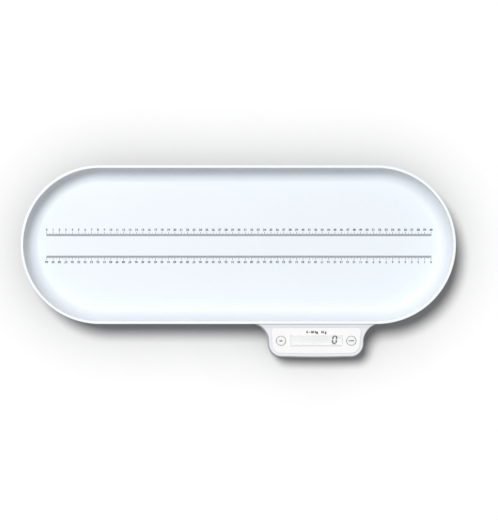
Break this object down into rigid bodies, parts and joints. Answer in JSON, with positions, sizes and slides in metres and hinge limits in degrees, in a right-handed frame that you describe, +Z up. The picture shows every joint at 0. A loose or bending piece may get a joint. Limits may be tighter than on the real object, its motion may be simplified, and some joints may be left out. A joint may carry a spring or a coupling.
{
  "type": "digital baby weighing scale",
  "caption": "Digital baby weighing scale with a long round-ended lift-off tray on a low base and a sloping console with a display and push buttons.",
  "frame": {"origin": "on the surface that the scale stands on, under the middle of the whole scale's bounding box, console included", "axes": "+X along the tray, to the right as seen by a user at the console, +Y from the console side to the back, +Z up"},
  "size_m": [0.675, 0.2998, 0.06],
  "materials": {
    "tray_abs": "moulded white ABS with a cool tint, semi-gloss",
    "shell_abs": "moulded pale grey ABS, satin",
    "plate_plastic": "white plastic plate, satin",
    "cap_plastic": "white moulded button cap, satin",
    "window_acrylic": "clear polished acrylic lens",
    "inner_abs": "natural moulded ABS",
    "display_glass": "pale reflective liquid crystal display glass",
    "light_guide": "clear to milky acrylic light guide",
    "contact_silicone": "pink layered silicone contact strip",
    "board_laminate": "green lacquered glass-epoxy board",
    "black_plastic": "black moulded plastic",
    "socket_nylon": "natural nylon",
    "pad_rubber": "grey moulded rubber",
    "cell_steel": "stamped spring steel",
    "screw_steel": "bright zinc-plated steel",
    "contact_nickel": "nickel-plated spring sheet",
    "lead_sheath": "white PVC sheath",
    "battery_jacket": "plain blue-grey printed jacket on a steel can"
  },
  "bodies": {
    "base": {"base_upper_shell": "shell_abs", "base_lower_shell": "shell_abs", "control_plate": "plate_plastic", "display_window": "window_acrylic", "display_holder": "inner_abs", "display_glass": "display_glass", "display_contact_strip": "contact_silicone", "display_backlight": "light_guide", "control_board": "board_laminate", "controller_chip": "black_plastic", "lead_socket": "socket_nylon", "board_screw_1": "screw_steel", "board_screw_2": "screw_steel", "unit_switch": "black_plastic", "power_switch": "black_plastic", "load_cell_front_left": "cell_steel", "load_cell_front_right": "cell_steel", "load_cell_rear_left": "cell_steel", "load_cell_rear_right": "cell_steel", "cell_holder_front_left": "inner_abs", "cell_holder_front_right": "inner_abs", "cell_holder_rear_left": "inner_abs", "cell_holder_rear_right": "inner_abs", "foot_cup_front_left": "shell_abs", "foot_cup_front_right": "shell_abs", "foot_cup_rear_left": "shell_abs", "foot_cup_rear_right": "shell_abs", "foot_pad_front_left": "pad_rubber", "foot_pad_front_right": "pad_rubber", "foot_pad_rear_left": "pad_rubber", "foot_pad_rear_right": "pad_rubber", "shell_screw_front_left": "screw_steel", "shell_screw_front_right": "screw_steel", "shell_screw_rear_left": "screw_steel", "shell_screw_rear_right": "screw_steel", "shell_screw_console_left": "screw_steel", "shell_screw_console_right": "screw_steel", "battery_1": "battery_jacket", "battery_2": "battery_jacket", "battery_3": "battery_jacket", "battery_contact_positive": "contact_nickel", "battery_contact_front_link": "contact_nickel", "battery_contact_rear_link": "contact_nickel", "battery_contact_negative": "contact_nickel", "cell_lead_front_left": "lead_sheath", "cell_lead_rear_left": "lead_sheath", "cell_lead_rear_right": "lead_sheath", "cell_lead_front_right": "lead_sheath", "battery_lead": "lead_sheath"},
    "tray": {"tray": "tray_abs", "tray_pad_front_left": "pad_rubber", "tray_pad_front_right": "pad_rubber", "tray_pad_rear_left": "pad_rubber", "tray_pad_rear_right": "pad_rubber"},
    "unit_button": {"unit_button": "cap_plastic", "unit_switch_plunger": "black_plastic"},
    "power_button": {"power_button": "cap_plastic", "power_switch_plunger": "black_plastic"},
    "battery_door": {"battery_door": "shell_abs"}
  },
  "joints": [
    {"name": "tray_lift", "type": "slide", "parent": "base", "child": "tray", "axis": [0, 0, 1], "range_m": [0, 0.06]},
    {"name": "unit_button_press", "type": "slide", "parent": "base", "child": "unit_button", "axis": [0, 0.2419, -0.9703], "range_m": [0, 0.0006], "stiffness_N_per_m": 3000, "springref_m": -0.0003},
    {"name": "power_button_press", "type": "slide", "parent": "base", "child": "power_button", "axis": [0, 0.2419, -0.9703], "range_m": [0, 0.0006], "stiffness_N_per_m": 3000, "springref_m": -0.0003},
    {"name": "battery_door_slide", "type": "slide", "parent": "base", "child": "battery_door", "axis": [0, 1, 0], "range_m": [0, 0.008]}
  ]
}
